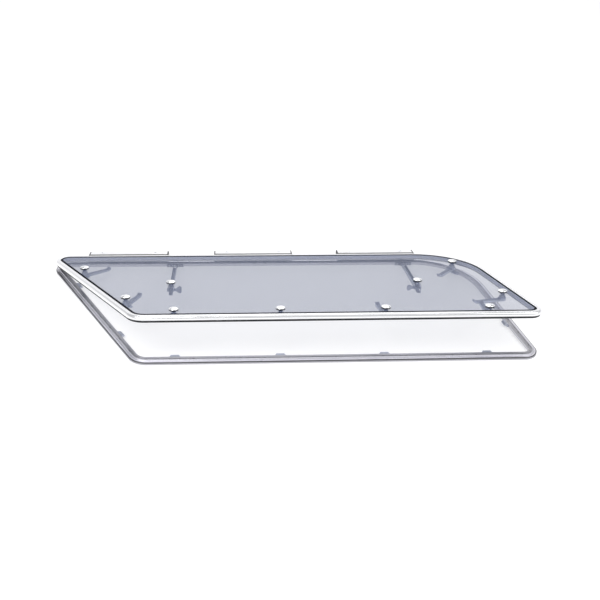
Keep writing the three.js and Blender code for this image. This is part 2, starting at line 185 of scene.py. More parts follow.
def soften(bm, width, segments=2, angle=32.0):
    """Rounds every edge that is sharper than the angle."""
    limit = math.radians(angle)
    edges = [e for e in bm.edges if len(e.link_faces) == 2 and e.calc_face_angle(0) > limit]
    bmesh.ops.bevel(
        bm, geom=edges, offset=width, segments=segments, profile=0.5,
        affect="EDGES", clamp_overlap=True,
    )
    return bm


def ring(section):
    """A closed ring whose section is a counter-clockwise outline of (inset, height).
    Its UV map runs along the extrusion in u and round the section in v, in metres."""
    found = rays()
    bm = bmesh.new()
    uv = bm.loops.layers.uv.new("extrusion")
    spokes = [outline(inset, found) for inset, _ in section]
    grid = [
        [bm.verts.new((*spokes[j][i], section[j][1])) for j in range(len(section))]
        for i in range(len(found))
    ]
    round_v = [0.0]
    for j in range(len(section)):
        step = Vector(section[(j + 1) % len(section)]) - Vector(section[j])
        round_v.append(round_v[-1] + step.length * MM)
    along = 0.0
    for i in range(len(found)):
        k = (i + 1) % len(found)
        length = (spokes[0][k] - spokes[0][i]).length * MM
        for j in range(len(section)):
            m = (j + 1) % len(section)
            face = bm.faces.new((grid[i][j], grid[i][m], grid[k][m], grid[k][j]))
            place = [(along, j), (along, j + 1), (along + length, j + 1), (along + length, j)]
            for loop, (u, v) in zip(face.loops, place):
                loop[uv].uv = (u, round_v[v])
        along += length
    return bm


def lathe(profile, segments=48):
    """A solid turned about +Z from (radius, height) points, from the axis to the axis,
    or a closed profile that stays clear of the axis."""
    bm = bmesh.new()
    spins = [2 * math.pi * k / segments for k in range(segments)]
    rows = [
        [bm.verts.new((0, 0, z))] if r == 0
        else [bm.verts.new((r * math.cos(a), r * math.sin(a), z)) for a in spins]
        for r, z in profile
    ]
    closed = profile[0][0] > 0
    for i in range(len(rows) - (0 if closed else 1)):
        low, high = rows[i], rows[(i + 1) % len(rows)]
        for k in range(segments):
            m = (k + 1) % segments
            corners = [low[k % len(low)], low[m % len(low)], high[m % len(high)], high[k % len(high)]]
            bm.faces.new(list(dict.fromkeys(corners)))
    return bm


def slab(outlines, low, high, axis="Z"):
    """A flat solid from an outer outline and its holes, from low to high along an axis.
    With axis X the outline is drawn in the Y-Z plane."""
    curve = bpy.data.curves.new("slab", "CURVE")
    curve.dimensions, curve.fill_mode = "2D", "BOTH"
    curve.extrude = (high - low) / 2
    for points in outlines:
        spline = curve.splines.new("POLY")
        spline.points.add(len(points) - 1)
        for spot, p in zip(spline.points, points):
            spot.co = (p[0], p[1], 0, 1)
        spline.use_cyclic_u = True
    holder = bpy.data.objects.new("slab", curve)
    mesh = bpy.data.meshes.new_from_object(holder)
    bm = bmesh.new()
    bm.from_mesh(mesh)
    bpy.data.objects.remove(holder)
    bpy.data.curves.remove(curve)
    bpy.data.meshes.remove(mesh)
    bmesh.ops.remove_doubles(bm, verts=bm.verts, dist=1e-3)
    bmesh.ops.translate(bm, verts=bm.verts, vec=(0, 0, (low + high) / 2))
    if axis == "X":
        bm.transform(Matrix(((0, 0, 1, 0), (1, 0, 0, 0), (0, 1, 0, 0), (0, 0, 0, 1))))
    return bm


def rod(radius, x0, x1, chamfer=0.3, segments=40):
    """A round bar along X with chamfered ends."""
    profile = [
        (0, x0), (radius - chamfer, x0), (radius, x0 + chamfer),
        (radius, x1 - chamfer), (radius - chamfer, x1), (0, x1),
    ]
    bm = lathe(profile, segments)
    bm.transform(Matrix.Rotation(math.pi / 2, 4, "Y"))
    return bm


def combine(first, *others, operation="UNION"):
    """Joins solids, or cuts the others from the first."""
    meshes = []
    for bm in (first, *others):
        bmesh.ops.recalc_face_normals(bm, faces=bm.faces)
        mesh = bpy.data.meshes.new("solid")
        bm.to_mesh(mesh)
        bm.free()
        meshes.append(mesh)
    objects = [bpy.data.objects.new("solid", m) for m in meshes]
    for o in objects:
        bpy.context.scene.collection.objects.link(o)
    for other in objects[1:]:
        modifier = objects[0].modifiers.new("join", "BOOLEAN")
        modifier.operation, modifier.object, modifier.solver = operation, other, "EXACT"
    bpy.context.view_layer.update()
    evaluated = objects[0].evaluated_get(bpy.context.evaluated_depsgraph_get())
    made = bpy.data.meshes.new_from_object(evaluated)
    bm = bmesh.new()
    bm.from_mesh(made)
    for o in objects:
        bpy.data.objects.remove(o)
    for mesh in (*meshes, made):
        bpy.data.meshes.remove(mesh)
    return bm


def copies(bm_source, places):
    """One bmesh with a copy of the source at each place."""
    mesh = bpy.data.meshes.new("one")
    bm_source.to_mesh(mesh)
    bm_source.free()
    bm = bmesh.new()
    for place in places:
        start = len(bm.verts)
        bm.from_mesh(mesh)
        bm.verts.ensure_lookup_table()
        bmesh.ops.transform(bm, matrix=place, verts=bm.verts[start:])
    bpy.data.meshes.remove(mesh)
    return bm


# ------------------------------------------------------------------ materials
class Shader:
    """A material with one Principled node, and short calls to add nodes in front of it."""

    def __init__(self, name, colour, roughness, metallic=0.0, coords="Object"):
        self.material = bpy.data.materials.new(name)
        self.material.use_nodes = True
        self.tree = self.material.node_tree
        self.main = self.tree.nodes["Principled BSDF"]
        self.main.inputs["Metallic"].default_value = metallic
        self.main.inputs["Roughness"].default_value = roughness
        self.main.inputs["Base Color"].default_value = (*colour, 1)
        self.colour, self.roughness = colour, roughness
        self.coords = self.node("ShaderNodeTexCoord").outputs[coords]
        self.height = None

    def node(self, kind, **values):
        made = self.tree.nodes.new(kind)
        for key, value in values.items():
            setattr(made, key, value)
        return made

    def link(self, source, target):
        self.tree.links.new(source, target)

    def noise(self, scale, stretch=(1, 1, 1), detail=4.0, rough=0.55):
        """The height of a noise pattern; scale is in features per metre."""
        mapping = self.node("ShaderNodeMapping")
        mapping.inputs["Scale"].default_value = [scale * s for s in stretch]
        texture = self.node("ShaderNodeTexNoise")
        texture.inputs["Scale"].default_value = 1.0
        texture.inputs["Detail"].default_value = detail
        texture.inputs["Roughness"].default_value = rough
        self.link(self.coords, mapping.inputs["Vector"])
        self.link(mapping.outputs["Vector"], texture.inputs["Vector"])
        return texture.outputs["Fac"]

    def remap(self, source, low, high, to_low, to_high):
        made = self.node("ShaderNodeMapRange")
        for key, value in zip(("From Min", "From Max", "To Min", "To Max"), (low, high, to_low, to_high)):
            made.inputs[key].default_value = value
        self.link(source, made.inputs["Value"])
        return made.outputs["Result"]

    def math(self, operation, a, b):
        made = self.node("ShaderNodeMath", operation=operation)
        for socket, value in zip(made.inputs, (a, b)):
            if isinstance(value, (int, float)):
                socket.default_value = value
            else:
                self.link(value, socket)
        return made.outputs[0]

    def tint(self, pattern, other):
        """Blends the base colour towards another where the pattern is 1."""
        mix = self.node("ShaderNodeMix", data_type="RGBA")
        source = self.main.inputs["Base Color"]
        if source.is_linked:
            self.link(source.links[0].from_socket, mix.inputs["A"])
        else:
            mix.inputs["A"].default_value = (*self.colour, 1)
        mix.inputs["B"].default_value = (*other, 1)
        self.link(pattern, mix.inputs["Factor"])
        self.link(mix.outputs["Result"], source)

    def vary_roughness(self, *patterns):
        total = patterns[0]
        for pattern in patterns[1:]:
            total = self.math("ADD", total, pattern)
        self.link(self.math("ADD", total, self.roughness), self.main.inputs["Roughness"])

    def bump(self, pattern, depth):
        """Adds relief, of a depth in millimetres, under what is already there."""
        made = self.node("ShaderNodeBump")
        made.inputs["Strength"].default_value = 1.0
        made.inputs["Distance"].default_value = depth * MM
        self.link(pattern, made.inputs["Height"])
        if self.height is not None:
            self.link(self.height, made.inputs["Normal"])
        self.height = made.outputs["Normal"]
        self.link(self.height, self.main.inputs["Normal"])

    def axis(self, axis):
        """X, Y or Z of the object, or V of the UV map, in metres."""
        split = self.node("ShaderNodeSeparateXYZ")
        coords = self.node("ShaderNodeTexCoord").outputs
        self.link(coords["UV" if axis == "V" else "Object"], split.inputs["Vector"])
        return split.outputs["Y" if axis == "V" else axis]

    def band(self, source, low, high, soft=0.3):
        """1 between two heights in millimetres and 0 elsewhere."""
        rise = self.remap(source, (low - soft) * MM, (low + soft) * MM, 0.0, 1.0)
        fall = self.remap(source, (high - soft) * MM, (high + soft) * MM, 1.0, 0.0)
        return self.math("MULTIPLY", rise, fall)

    def edges(self, low=0.52, high=0.6):
        """1 on convex edges and 0 elsewhere."""
        geometry = self.node("ShaderNodeNewGeometry")
        return self.remap(geometry.outputs["Pointiness"], low, high, 0.0, 1.0)


def extruded_alloy(name, colour, roughness, coords, stretch, painted_shade_bands=()):
    """Anodised extrusion: die lines along its length, handling marks and a few scratches.
    A painted shade band is (axis, low, high, shade): a part of the section painted darker
    than the rest, standing in for the shade that falls there. V runs round the section. Two
    more figures keep a band between two values of Y."""
    s = Shader(name, colour, roughness, 1.0, coords)
    for axis, low, high, shade, *limits in painted_shade_bands:
        # Painted shade: each band darkens the colour by its shade factor over that part of the section.
        painted_shade_mask = s.band(s.axis(axis), low, high)
        if limits:
            painted_shade_mask = s.math("MULTIPLY", painted_shade_mask, s.band(s.axis("Y"), *limits))
        s.tint(painted_shade_mask, [c * shade for c in colour])
    lines = s.noise(1.0, stretch, 3.0, 0.6)
    smudge = s.noise(14.0, (1, 1, 1), 5.0, 0.6)
    scratch = s.remap(s.noise(60.0, (1.0, 9.0, 5.0), 8.0, 0.75), 0.68, 0.74, 0.0, 1.0)
    s.tint(s.remap(lines, 0.35, 0.75, 0.0, 0.25), [c * 0.8 for c in colour])
    s.tint(s.remap(smudge, 0.55, 0.8, 0.0, 0.2), [c * 0.85 for c in colour])
    s.vary_roughness(
        s.remap(lines, 0.3, 0.7, -0.05, 0.07),
        s.remap(smudge, 0.4, 0.75, -0.03, 0.10),
        s.remap(scratch, 0.0, 1.0, 0.0, 0.15),
    )
    s.bump(lines, 0.010)
    s.bump(scratch, -0.006)
    return s.material


def cast_alloy(name, colour, roughness):
    """Bead-blasted and anodised casting, polished where hands and edges rub."""
    s = Shader(name, colour, roughness, 1.0)
    grain = s.noise(2600.0, (1, 1, 1), 2.0, 0.5)
    cloud = s.noise(60.0, (1, 1, 1), 4.0, 0.6)
    s.tint(s.remap(cloud, 0.4, 0.75, 0.0, 0.5), [c * 0.78 for c in colour])
    s.tint(s.edges(), [min(1.0, c * 1.5) for c in colour])
    s.vary_roughness(s.remap(grain, 0.3, 0.7, -0.05, 0.06), s.remap(cloud, 0.3, 0.8, -0.08, 0.1))
    s.bump(cloud, 0.05)
    s.bump(grain, 0.02)
    return s.material


def turned_metal(name, colour, roughness, pitch):
    """Metal turned or polished about its own Z axis, with fine tool rings."""
    s = Shader(name, colour, roughness, 1.0)
    rings = s.node("ShaderNodeTexWave", wave_type="RINGS", rings_direction="Z")
    rings.inputs["Scale"].default_value = 1000.0 / pitch / 20.0
    rings.inputs["Distortion"].default_value = 0.6
    rings.inputs["Detail"].default_value = 2.0
    s.link(s.coords, rings.inputs["Vector"])
    smudge = s.noise(130.0, (1, 1, 1), 4.0, 0.6)
    s.tint(s.remap(smudge, 0.5, 0.8, 0.0, 0.4), [c * 0.85 for c in colour])
    s.vary_roughness(
        s.remap(rings.outputs["Fac"], 0.0, 1.0, -0.02, 0.04), s.remap(smudge, 0.4, 0.8, -0.02, 0.12)
    )
    s.bump(rings.outputs["Fac"], 0.004)
    return s.material


def moulded(name, colour, roughness, grain_scale, depth, below=None, shine=0.18):
    """Black rubber, sealant or nylon with a fine skin, dust and a bloom of age; below is
    (height, colour), where another colour lies underneath."""
    s = Shader(name, colour, roughness)
    s.main.inputs["Specular IOR Level"].default_value = shine
    grain = s.noise(grain_scale, (1, 1, 1), 4.0, 0.6)
    bloom = s.noise(35.0, (1, 1, 1), 5.0, 0.65)
    s.tint(s.remap(bloom, 0.5, 0.8, 0.0, 0.6), [c * 2.2 + 0.01 for c in colour])
    if below:
        s.tint(s.band(s.axis("Z"), -50.0, below[0]), below[1])
    s.vary_roughness(s.remap(grain, 0.3, 0.7, -0.06, 0.06), s.remap(bloom, 0.4, 0.8, -0.05, 0.12))
    s.bump(grain, depth)
    return s.material


def tinted_acrylic(name, colour, alpha):
    """Cast acrylic: smooth, tinted through, with hairline wiping marks and a little dust."""
    s = Shader(name, colour, 0.04)
    s.main.inputs["IOR"].default_value = 1.49
    s.main.inputs["Alpha"].default_value = alpha
    wiped = s.remap(s.noise(45.0, (1.0, 14.0, 1.0), 8.0, 0.8), 0.66, 0.74, 0.0, 1.0)
    crossed = s.remap(s.noise(52.0, (12.0, 1.6, 1.0), 8.0, 0.8), 0.68, 0.75, 0.0, 1.0)
    ripple = s.noise(2.2, (1, 1, 1), 1.0, 0.3)
    dust = s.remap(s.noise(900.0, (1, 1, 1), 2.0, 0.5), 0.72, 0.8, 0.0, 0.35)
    s.tint(s.remap(ripple, 0.3, 0.7, 0.0, 0.25), [c * 0.93 for c in colour])
    s.tint(dust, (0.75, 0.76, 0.78))
    s.vary_roughness(
        s.remap(wiped, 0.0, 1.0, 0.0, 0.05), s.remap(crossed, 0.0, 1.0, 0.0, 0.05), dust
    )
    s.bump(ripple, 0.15)
    s.bump(wiped, -0.002)
    return s.material


def floor_paper(name, colour):
    """Pale matt studio floor with a faint glow, so that shadows on it stay light."""
    s = Shader(name, colour, 0.9)
    mottle = s.noise(3.0, (1, 1, 1), 3.0, 0.5)
    s.tint(s.remap(mottle, 0.3, 0.7, 0.0, 0.3), [c * 0.985 for c in colour])
    s.main.inputs["Emission Color"].default_value = (1, 1, 1, 1)
    s.main.inputs["Emission Strength"].default_value = 0.55
    return s.material


# Painted shade: the bands darken the inner wall, the inner strip (only a little along the back), the rounded
# flange edge with the top of the outer wall, and the lower outer wall.
FRAME_ALLOY = extruded_alloy(
    "frame_alloy", (0.76, 0.755, 0.80), 0.30, "UV", (3.0, 2600.0, 1.0),
    [
        ("V", 23.0, 35.0, 0.75),
        ("V", 35.0, 51.8, 0.56, -400.0, 215.0),
        ("V", 35.0, 51.8, 0.90, 215.0, 400.0),
        ("V", 63.6, 69.4, 0.08),
        ("V", 70.0, 74.4, 0.62),
    ],
)
# Painted shade: the band darkens the bottom 4.4 mm of the trim, the shaded underside of the half-round edge.
TRIM_ALLOY = extruded_alloy(
    "trim_alloy", (0.90, 0.905, 0.915), 0.17, "UV", (3.0, 1800.0, 1.0), [("Z", -1.0, 4.4, 0.55)]
)
# Painted shadow: the band, Y from -12 to 15.2 mm about the hinge axis, draws the barrels, the lid leaves and
# the front of the base leaves nearly black, as the shadow in the gap behind the lid.
HINGE_ALLOY = extruded_alloy(
    "hinge_alloy", (0.88, 0.885, 0.895), 0.26, "Object", (3.0, 1500.0, 1500.0), [("Y", -12.0, 15.2, 0.04)]
)
CAST = cast_alloy("fittings_alloy", (0.40, 0.42, 0.48), 0.42)
# Darker copy of the fittings alloy: painted shade on the stay brackets, which sit low against the back wall
# under the lid.
BRACKET_PAINTED_SHADE = cast_alloy("bracket_alloy", (0.17, 0.18, 0.22), 0.48)
CAP_METAL = turned_metal("cap_metal", (0.88, 0.89, 0.90), 0.12, 0.5)
STAINLESS = turned_metal("stainless", (0.70, 0.71, 0.73), 0.2, 0.3)
RUBBER = moulded("seal_rubber", (0.018, 0.019, 0.022), 0.62, 1200.0, 0.03)
# The pale colour below 13.9 mm is painted light: it lifts the bedding tape on the glazing ledge, which lies
# in shade under the acrylic.
SEALANT = moulded(
    "glazing_sealant", (0.008, 0.009, 0.013), 0.7, 400.0, 0.05, (13.9, (0.84, 0.86, 0.93)), 0.03
)
NYLON = moulded("bush_nylon", (0.02, 0.02, 0.023), 0.5, 2500.0, 0.02)
BUSH = moulded("spindle_bush", (0.02, 0.02, 0.023), 0.5, 2500.0, 0.02, (15.0, (0.40, 0.42, 0.50)))
# Darker copy of the stainless: painted shade on the frame screws, which sit down in the screw channel.
SCREW_PAINTED_SHADE = turned_metal("screw_metal", (0.17, 0.17, 0.19), 0.35, 0.3)
ACRYLIC = tinted_acrylic("tinted_acrylic", (0.11, 0.14, 0.24), 0.33)


# ------------------------------------------------------------------ placing pieces
def piece(name, mesh, material, body, place, slot, *nodes):
    """Shows a mesh at a place, riding on a body, in the stead of some CAD nodes."""
    if not mesh.materials:
        mesh.materials.append(material)
    made = bpy.data.objects.new(name, mesh)
    bpy.context.scene.collection.objects.link(made)
    made.matrix_world = place
    bpy.context.view_layer.update()
    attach(made, body)
    if nodes:
        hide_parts(*nodes)
    return made


def dress(node, material, bevel):
    """Keeps a CAD node, with its edges rounded and a material of its own."""
    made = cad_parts[node]
    made.data.materials.clear()
    made.data.materials.append(material)
    weld = made.modifiers.new("weld", "WELD")
    weld.merge_threshold = 1e-6
    edge = made.modifiers.new("edges", "BEVEL")
    edge.width, edge.segments, edge.angle_limit = bevel * MM, 2, math.radians(40)
    edge.harden_normals = True


# ------------------------------------------------------------------ frame and lid
def frame_extrusion():
    """Flat outer flange, screw channel with lips, ribbed inner strip and drip edge."""
    return ring(rounded([
        (0, 0), (22.5, 0, 0.3), (22.5, 1.6, 0.4), (FRAME_WIDTH, 2.2, 0.4),
        (FRAME_WIDTH, FRAME_HEIGHT, 0.8),
        (20.9, FRAME_HEIGHT, 0.2), (20.6, 10.5), (20.2, 10.5), (19.9, FRAME_HEIGHT, 0.2),
        (16.5, FRAME_HEIGHT, 0.35), (16.5, 9.2, 0.3), (12.5, 9.2, 0.3), (12.5, FRAME_HEIGHT, 0.35),
        (10.8, FRAME_HEIGHT, 0.4), (10.4, 8, 0.5),
        (6.4, 8, 0.15), (6.1, 7.6), (5.7, 7.6), (5.4, 8, 0.15),
        (1.6, 8, 1.0), (0, 7.2, 0.5), (0, 6.3, 0.2), (0.9, 6.0), (0.9, 4.3), (0, 4.0, 0.2),
    ]))


def lid_extrusion():
    """Half-round edge, seal groove, glazing ledge and a lip against the sealant."""
    radius = LID_THICKNESS / 2
    nose = [(radius + p.x, radius + p.y) for p in arc(0, 0, radius, 90, 252, 22)]
    return ring(
        rounded([
            (6, 0.25), (6, 2.2, 0.2), (10, 2.2, 0.2), (10, 0, 0.3), (25.5, 0, 0.5), (25.5, 4, 0.5),
            (15.8, 4, 0.4), (15.8, 14.6, 0.3), (15.4, LID_THICKNESS, 0.3),
            (12.2, LID_THICKNESS, 0.1), (12.0, 14.8), (11.7, 14.8), (11.5, LID_THICKNESS, 0.1),
        ])
        + [Vector(p) for p in nose]
    )


def lid_gasket():
    """Bulb seal held in the groove by a barbed foot."""
    bulb = arc(7.1, -2.0, 2.65, 180, 350, 14)
    foot = ((10.3, -0.9), (10.3, -0.3), (9.7, -0.3), (9.7, 1.9), (6.3, 1.9), (6.3, -0.3), (4.45, -0.3))
    return ring(bulb + [Vector(p) for p in foot])


def glazing_bead():
    """Bedding tape, drawn pale as painted light, under and beside the acrylic, capped with a crowned black
    bead.
    """
    return ring(rounded([
        (16.1, 4.3), (25.1, 4.3, 0.4), (25.1, 5.2, 0.3), (22.0, 5.2, 0.2),
        (22.0, 15.03), (23.2, 15.03), (23.2, 15.12), (22.0, 15.5, 0.6), (20.4, 15.9, 0.8),
        (17.4, 15.75, 0.6), (16.1, 14.85),
    ]))


def acrylic_sheet(centres):
    """The glazing, with softened edges and a hole for every spindle and stay."""
    outlines = [outline(PANE_INSET)]
    outlines += [arc(x, y, 6.1, 0, 360 * 31 / 32, 31) for x, y in centres]
    return soften(slab(outlines, PANE_BOTTOM, LID_THICKNESS), 0.5, 2, 60.0)


# ------------------------------------------------------------------ hinges
def leaf_outline():
    """Outer shape of the hinge base leaf, about the hinge axis."""
    floor = -HINGE_Z
    return rounded([
        (-9.7, floor, 0.3), (52, floor, 0.5), (52, floor + 7, 1.5), (49, floor + 10.5, 3.0),
        (14, floor + 19.5, 2.5), (10, floor + 19.5, 0.6), (10, floor + 4, 1.5), (-9.7, floor + 4, 1.0),
    ])


def hinge_base_leaf():
    """Hollow extrusion with a knuckle at each end, drawn about the hinge axis."""
    half, floor = HINGE_LENGTH / 2, -HINGE_Z
    chambers = [
        rounded([(13, floor + 3, 1), (28, floor + 3, 1), (28, floor + 12.6, 1), (13, floor + 16, 1)]),
        rounded([(31, floor + 3.2, 1), (46, floor + 3.2, 1), (46, floor + 8, 1), (31, floor + 11.8, 1)]),
    ]
    leaf = slab([leaf_outline(), *chambers], -half, half, "X")
    barrel = arc(0, 0, KNUCKLE_RADIUS, 60, 320, 36)
    neck = [Vector(p) for p in ((7, -5), (11.5, -5), (11.5, 3.3), (6.5, 5.2))]
    knuckles = [
        slab([barrel + neck], x, x + KNUCKLE_LENGTH, "X") for x in (-half, half - KNUCKLE_LENGTH)
    ]
    solid = combine(leaf, *knuckles)
    solid = combine(solid, rod(PIN_RADIUS + 0.3, -half - 2, half + 2), operation="DIFFERENCE")
    return soften(solid, 0.35, 2, 50.0)


def hinge_lid_leaf():
    """Middle knuckle, with the arm that is welded to the back of the lid."""
    half = HINGE_LENGTH / 2 - KNUCKLE_LENGTH - 0.3
    barrel = arc(0, 0, KNUCKLE_RADIUS, -170, 85, 36)
    arm = [Vector(p) for p in ((-4.0, 7.5), (-9.7, 7.3), (-9.7, 2.2), (-7.6, 1.4))]
    hole = arc(0, 0, PIN_RADIUS + 0.3, 0, 360 * 31 / 32, 31)
    return soften(slab([barrel + arm, hole], -half, half, "X"), 0.35, 2, 50.0)


def end_plugs():
    """Black mouldings that close both ends of a hinge, over the barrel and the leaf."""
    low, high = HINGE_LENGTH / 2 + 0.15, HINGE_LENGTH / 2 + 3.6
    plugs = []
    for x0, x1 in ((-high, -low), (low, high)):
        barrel = slab([arc(0, 0, 8.1, 0, 354, 59)], x0, x1, "X")
        neck = slab([[Vector(p) for p in ((4, -6), (12, -6), (12, 3.2), (4, 7.0))]], x0, x1, "X")
        plugs.append(soften(combine(slab([leaf_outline()], x0, x1, "X"), barrel, neck), 0.5, 2, 50.0))
    return combine(*plugs)


def cross_screw(radius, height):
    """Pan-head screw with a washer face and a cross recess, head upwards from z = 0."""
    head = lathe([
        (0, -1.2), (radius * 0.55, -1.2), (radius * 0.55, 0), (radius, 0), (radius, height * 0.3),
        (radius * 0.93, height * 0.62), (radius * 0.7, height * 0.88), (radius * 0.35, height), (0, height),
    ], 28)
    arm, width = radius * 0.5, radius * 0.13
    slots = [
        slab([[Vector(p) for p in ((-a, -b), (a, -b), (a, b), (-a, b))]], height * 0.45, height + 1)
        for a, b in ((arm, width), (width, arm))
    ]
    return combine(head, *slots, operation="DIFFERENCE")


# ------------------------------------------------------------------ latches
def domed_cap(spindle_end):
    """Polished dome on a short rim, with the spindle below it."""
    dome = [(13.3 * math.cos(a), 19.4 + 3.4 * math.sin(a)) for a in
            (math.radians(x) for x in (6, 18, 30, 42, 54, 66, 78))]
    return lathe([
        (0, spindle_end), (3.6, spindle_end), (SPINDLE_RADIUS, spindle_end + 0.4),
        (SPINDLE_RADIUS, 18.3), (13.2, 18.3), (CAP_RADIUS, 18.6), (CAP_RADIUS, 19.3),
        *dome, (0, 22.8),
    ], 64)


def stay_washer():
    """Black washer between the cap of a stay and the acrylic."""
    return lathe([
        (6.3, 15.1), (13.1, 15.1), (13.4, 15.4), (13.4, 17.8), (13.1, 18.1), (6.3, 18.1),
    ], 48)


def spindle_bush():
    """Nylon bush in the acrylic: a grey sleeve with a black flange that the cap sits on."""
    return lathe([
        (4.3, 5.8), (5.5, 5.8), (5.8, 6.1), (5.8, 15.3), (13.1, 15.3), (13.4, 15.6),
        (13.4, 17.7), (13.1, 18.0), (4.3, 18.0),
    ], 48)


def turning_handle():
    """Hub with a collar, tapered lever with a turned-up thumb tip, and the dogging tongue."""
    tip = LEVER_LENGTH
    hub = lathe([
        (0, HUB_BOTTOM), (8.6, HUB_BOTTOM), (10.3, HUB_BOTTOM + 0.5), (11, HUB_BOTTOM + 1.8),
        (11, HUB_TOP - 6.6), (10.4, HUB_TOP - 5.6), (8.9, HUB_TOP - 4.4), (8.5, HUB_TOP - 0.4),
        (8.1, HUB_TOP), (4.3, HUB_TOP), (4.3, -8.3), (0, -8.3),
    ], 48)
    side = rounded([
        (4.5, HUB_BOTTOM + 0.01), (tip - 12, HUB_BOTTOM, 8.0), (tip - 5, HUB_BOTTOM + 2, 5.0),
        (tip, HUB_BOTTOM + 9, 0.6), (tip - 4.5, HUB_BOTTOM + 11.5, 0.6),
        (tip - 8.5, HUB_BOTTOM + 7.5, 2.0), (tip - 14, HUB_BOTTOM + 6, 6.0), (4.5, HUB_BOTTOM + 7),
    ], 6)
    lever = slab([side], -0.5, 0.5, "X")
    lever.transform(Matrix.Rotation(-math.pi / 2, 4, "Z"))
    bmesh.ops.subdivide_edges(
        lever, edges=[e for e in lever.edges if abs(e.verts[0].co.y - e.verts[1].co.y) > 0.9], cuts=2
    )
    for v in lever.verts:
        v.co.y *= LEVER_ROOT_WIDTH + (LEVER_TIP_WIDTH - LEVER_ROOT_WIDTH) * v.co.x / tip
    soften(lever, 1.1, 3, 55.0)
    end = [p + Vector((0, 7 - TONGUE_REACH)) for p in arc(0, 0, 7, 180, 360, 14)]
    tongue = slab([[Vector((7, 0)), Vector((-7, 0)), *end]], HUB_BOTTOM + 0.02, HUB_BOTTOM + 2.8)
    return combine(hub, lever, soften(tongue, 0.5, 2, 60.0))


# ------------------------------------------------------------------ stays
def clamp_knob():
    """Stud, waisted collar and a flat wing, drawn along +X from the yoke."""
    stud = rod(2.0, -11.5, 14)
    collar = lathe([
        (0, 9.6), (3.9, 9.6), (4.5, 10.2), (4.5, 13), (3.9, 13.6), (3.9, 14.4), (4.5, 15), (4.5, 17.4),
        (3.9, 18), (0, 18),
    ], 40)
    collar.transform(Matrix.Rotation(math.pi / 2, 4, "Y"))
    shape = rounded([
        (15, -4), (20, -8, 4), (23, -10.4, 3), (28, -10.4, 3), (31, -7, 4), (31, 7, 4), (28, 10.4, 3),
        (23, 10.4, 3), (20, 8, 4), (15, 4),
    ])
    wing = soften(slab([shape], -1.8, 1.8), 0.9, 3, 60.0)
    wing.transform(Matrix.Rotation(math.radians(65), 4, "X"))
    return combine(stud, collar, wing)


# ------------------------------------------------------------------ assembly
LATCHES = {  # x, y, and the direction of the lever in degrees
    "left_rear": (*on_side(CORNERS[0], CORNERS[1], LATCH_INSET, 111), 42),
    "left_front": (*on_side(CORNERS[0], CORNERS[1], LATCH_INSET, -158), 69),
    "front_1": (-322.0, FRONT_Y + LATCH_INSET, 180),
    "front_2": (-25.0, FRONT_Y + LATCH_INSET, 180),
    "front_3": (272.0, FRONT_Y + LATCH_INSET, 97),
    "front_4": (569.0, FRONT_Y + LATCH_INSET, 91),
    "right_front": (*on_side(CORNERS[2], CORNERS[3], LATCH_INSET, -138), -166),
    "right_rear": (*on_corner(CORNERS[3], LATCH_INSET, math.radians(45)), -128),
}


def build_frame():
    mesh = finish_mesh("frame_extrusion", frame_extrusion())
    piece("frame_extrusion", mesh, FRAME_ALLOY, "base", Matrix(), "frame_alloy", "base_frame")
    spots = along_outline(SCREW_INSET, SCREW_PITCH)
    screws = copies(
        cross_screw(1.9, 1.5),
        [Matrix.Translation((p.x, p.y, 9.2)) @ Matrix.Rotation(i * 2.4, 4, "Z") for i, p in enumerate(spots)],
    )
    piece("frame_screws", finish_mesh("frame_screws", screws), SCREW_PAINTED_SHADE, "base", Matrix(), "stainless")


def build_lid():
    centres = [(x, y) for x, y, _ in LATCHES.values()]
    centres += [(x, STAY_CAP_Y) for x in STAY_CENTRES.values()]
    parts = [
        ("lid_extrusion", lid_extrusion(), TRIM_ALLOY, "trim_alloy", "lid_trim"),
        ("lid_gasket", lid_gasket(), RUBBER, "seal_rubber", "lid_seal"),
        ("glazing_bead", glazing_bead(), SEALANT, "glazing_sealant", "glazing_seal"),
        ("acrylic_sheet", acrylic_sheet(centres), ACRYLIC, "tinted_acrylic", "lid_pane"),
    ]
    for name, solid, material, slot, node in parts:
        piece(name, finish_mesh(name, solid), material, "lid", LID, slot, node)


def build_hinges():
    base = finish_mesh("hinge_base_leaf", hinge_base_leaf())
    lid = finish_mesh("hinge_lid_leaf", hinge_lid_leaf())
    pin = finish_mesh("hinge_pin", rod(PIN_RADIUS, -HINGE_LENGTH / 2 - 1.5, HINGE_LENGTH / 2 + 1.5, 0.7))
    slope = math.atan2(9, 35)
    seats = [
        Matrix.Translation((x, 34, 14.1 - HINGE_Z)) @ Matrix.Rotation(-slope, 4, "X") for x in (-86, 86)
    ]
    screws = finish_mesh("hinge_screws", copies(cross_screw(4.2, 2.4), seats))
    plugs = finish_mesh("hinge_end_plugs", end_plugs())
    for side, x in HINGE_CENTRES.items():
        place, name = at(x, HINGE_Y, HINGE_Z), f"hinge_{side}"
        piece(f"{name}_end_plugs", plugs, NYLON, "base", place, "bush_nylon")
        piece(f"{name}_base_extrusion", base, HINGE_ALLOY, "base", place, "hinge_alloy", f"{name}_base_leaf")
        piece(f"{name}_rod", pin, STAINLESS, "base", place, "stainless", f"{name}_pin")
        piece(f"{name}_screws", screws, STAINLESS, "base", place, "stainless")
        lid_place = LID @ at(x, HINGE_Y, HINGE_Z - LID_Z)
        piece(f"{name}_lid_extrusion", lid, HINGE_ALLOY, "lid", lid_place, "hinge_alloy", f"{name}_lid_leaf")


